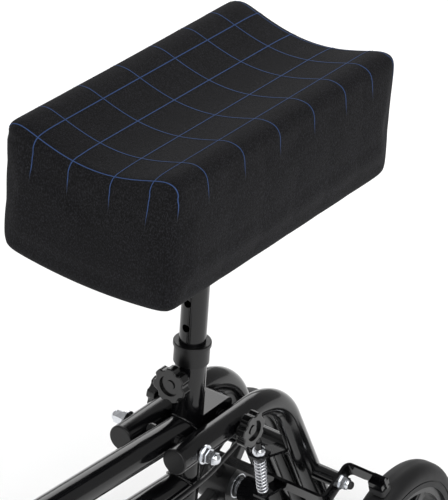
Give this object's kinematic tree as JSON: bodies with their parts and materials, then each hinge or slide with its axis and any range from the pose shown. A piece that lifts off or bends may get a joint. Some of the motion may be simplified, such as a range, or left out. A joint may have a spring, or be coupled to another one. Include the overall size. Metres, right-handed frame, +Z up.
{
  "type": "knee scooter",
  "caption": "Four-wheeled knee scooter with a padded knee rest on a telescopic post, a folding rear fork with a bar brake, and a folding steered handlebar column.",
  "frame": {"origin": "centre of the bounding box at floor level, midway between the two axles", "axes": "+Z up, -Y the way it travels, +X the rider's left"},
  "size_m": [0.412, 0.83, 0.9785],
  "materials": {
    "gloss_black_paint": "gloss",
    "knee_cover_fleece": "brushed",
    "pad_foam": "open-cell foam",
    "pad_plywood": "raw plywood",
    "black_plastic": "satin moulded",
    "zinc_steel": "bright zinc plate",
    "spring_steel": "bright drawn",
    "tyre_rubber": "smooth solid tyre",
    "wheel_nylon": "moulded",
    "black_rubber": "matt",
    "cable_housing": "extruded sleeve"
  },
  "bodies": {
    "frame": {"upper_beam": "gloss_black_paint", "lower_beam": "gloss_black_paint", "seat_tube": "gloss_black_paint", "seat_collar": "black_plastic", "head_tube": "gloss_black_paint", "headset_cups": "gloss_black_paint", "lock_bracket": "gloss_black_paint", "basket_bracket": "gloss_black_paint", "fork_pivot_bolt": "zinc_steel", "cable_clips": "black_plastic", "brake_cable_lower": "cable_housing"},
    "rear_fork": {"left_side_tube": "gloss_black_paint", "right_side_tube": "gloss_black_paint", "side_tube_bushes": "black_plastic", "side_tube_caps": "black_plastic", "fork_brace": "gloss_black_paint", "rear_axle_housing": "gloss_black_paint", "rear_axle": "zinc_steel", "cable_stop": "gloss_black_paint", "brake_pivot_bolts": "zinc_steel", "return_spring": "spring_steel", "brake_wire": "spring_steel"},
    "knee_rest": {"seat_post": "gloss_black_paint", "pad_cover": "knee_cover_fleece", "pad_board": "pad_plywood", "pad_foam": "pad_foam", "pad_screws": "zinc_steel"},
    "height_knob": {"height_knob": "black_plastic"},
    "left_fold_knob": {"left_fold_knob": "black_plastic"},
    "right_fold_knob": {"right_fold_knob": "black_plastic"},
    "brake_bar": {"brake_bar": "gloss_black_paint", "brake_shoes": "black_rubber"},
    "front_fork": {"fork_stem": "gloss_black_paint", "front_axle_housing": "gloss_black_paint", "front_axle": "zinc_steel", "headset_locknut": "gloss_black_paint", "hinge_base": "gloss_black_paint", "hinge_bolts": "zinc_steel"},
    "fold_lever": {"fold_lever": "gloss_black_paint"},
    "column": {"column_tongue": "gloss_black_paint", "column_tube": "gloss_black_paint", "column_clamp": "gloss_black_paint"},
    "clamp_lever": {"clamp_lever": "gloss_black_paint"},
    "handlebar": {"stem_tube": "gloss_black_paint", "bar_clamp": "gloss_black_paint", "handlebar": "gloss_black_paint", "grips": "black_rubber", "lever_perch": "gloss_black_paint", "brake_cable_upper": "cable_housing"},
    "brake_lever": {"brake_lever": "gloss_black_paint"},
    "rear_left_wheel": {"rear_left_tyre": "tyre_rubber", "rear_left_wheel": "wheel_nylon"},
    "rear_right_wheel": {"rear_right_tyre": "tyre_rubber", "rear_right_wheel": "wheel_nylon"},
    "front_left_wheel": {"front_left_tyre": "tyre_rubber", "front_left_wheel": "wheel_nylon"},
    "front_right_wheel": {"front_right_tyre": "tyre_rubber", "front_right_wheel": "wheel_nylon"}
  },
  "joints": [
    {"name": "rear_fork_fold", "type": "hinge", "parent": "frame", "child": "rear_fork", "pos_m": [0, 0.05, 0.326], "axis": [-1, 0, 0], "range_deg": [0, 60], "deforming": ["brake_cable_lower"]},
    {"name": "seat_height", "type": "slide", "parent": "frame", "child": "knee_rest", "axis": [0, 0, 1], "range_m": [-0.104, 0.052]},
    {"name": "height_knob_turn", "type": "hinge", "parent": "frame", "child": "height_knob", "pos_m": [0, 0.0625, 0.382], "axis": [0, -1, 0], "range_deg": [0, 720]},
    {"name": "left_fold_knob_turn", "type": "hinge", "parent": "rear_fork", "child": "left_fold_knob", "pos_m": [0.0435, 0.113, 0.326], "axis": [1, 0, 0], "range_deg": [0, 720]},
    {"name": "right_fold_knob_turn", "type": "hinge", "parent": "rear_fork", "child": "right_fold_knob", "pos_m": [-0.0435, 0.113, 0.326], "axis": [-1, 0, 0], "range_deg": [0, 720]},
    {"name": "brake_lever_squeeze", "type": "hinge", "parent": "handlebar", "child": "brake_lever", "pos_m": [0.0985, -0.27245, 0.96], "axis": [0, 0, 1], "range_deg": [0, 13], "stiffness_Nm_per_rad": 1.5, "springref_deg": -11.46},
    {"name": "brake_bar_pivot", "type": "hinge", "parent": "rear_fork", "child": "brake_bar", "pos_m": [0, 0.25685, 0.20268], "axis": [-1, 0, 0], "range_deg": [0, 6.94], "stiffness_Nm_per_rad": 1.5, "springref_deg": -17.19, "deforming": ["return_spring", "brake_wire"]},
    {"name": "steering", "type": "hinge", "parent": "frame", "child": "front_fork", "pos_m": [0, -0.3037, 0.31563], "axis": [0, 0.0523, 0.9986], "range_deg": [-40, 40]},
    {"name": "column_fold", "type": "hinge", "parent": "front_fork", "child": "column", "pos_m": [0, -0.30984, 0.42781], "axis": [1, 0, 0], "range_deg": [0, 95]},
    {"name": "fold_lever_swing", "type": "hinge", "parent": "front_fork", "child": "fold_lever", "pos_m": [-0.0223, -0.28587, 0.42655], "axis": [0, 0.0523, 0.9986], "range_deg": [0, 120]},
    {"name": "clamp_lever_swing", "type": "hinge", "parent": "column", "child": "clamp_lever", "pos_m": [-0.0163, -0.25339, 0.6832], "axis": [0, 0.9986, -0.0523], "range_deg": [0, 120]},
    {"name": "handlebar_height", "type": "slide", "parent": "column", "child": "handlebar", "axis": [0, 0.0523, 0.9986], "range_m": [-0.07, 0.07], "deforming": ["brake_cable_upper"]},
    {"name": "rear_left_wheel_spin", "type": "hinge", "parent": "rear_fork", "child": "rear_left_wheel", "pos_m": [0, 0.315, 0.1], "axis": [1, 0, 0], "continuous": true},
    {"name": "rear_right_wheel_spin", "type": "hinge", "parent": "rear_fork", "child": "rear_right_wheel", "pos_m": [0, 0.315, 0.1], "axis": [1, 0, 0], "continuous": true},
    {"name": "front_left_wheel_spin", "type": "hinge", "parent": "front_fork", "child": "front_left_wheel", "pos_m": [0, -0.315, 0.1], "axis": [1, 0, 0], "continuous": true},
    {"name": "front_right_wheel_spin", "type": "hinge", "parent": "front_fork", "child": "front_right_wheel", "pos_m": [0, -0.315, 0.1], "axis": [1, 0, 0], "continuous": true}
  ],
  "couplings": [
    {"joint": "brake_bar_pivot", "follows": "brake_lever_squeeze", "ratio": 0.53333}
  ]
}
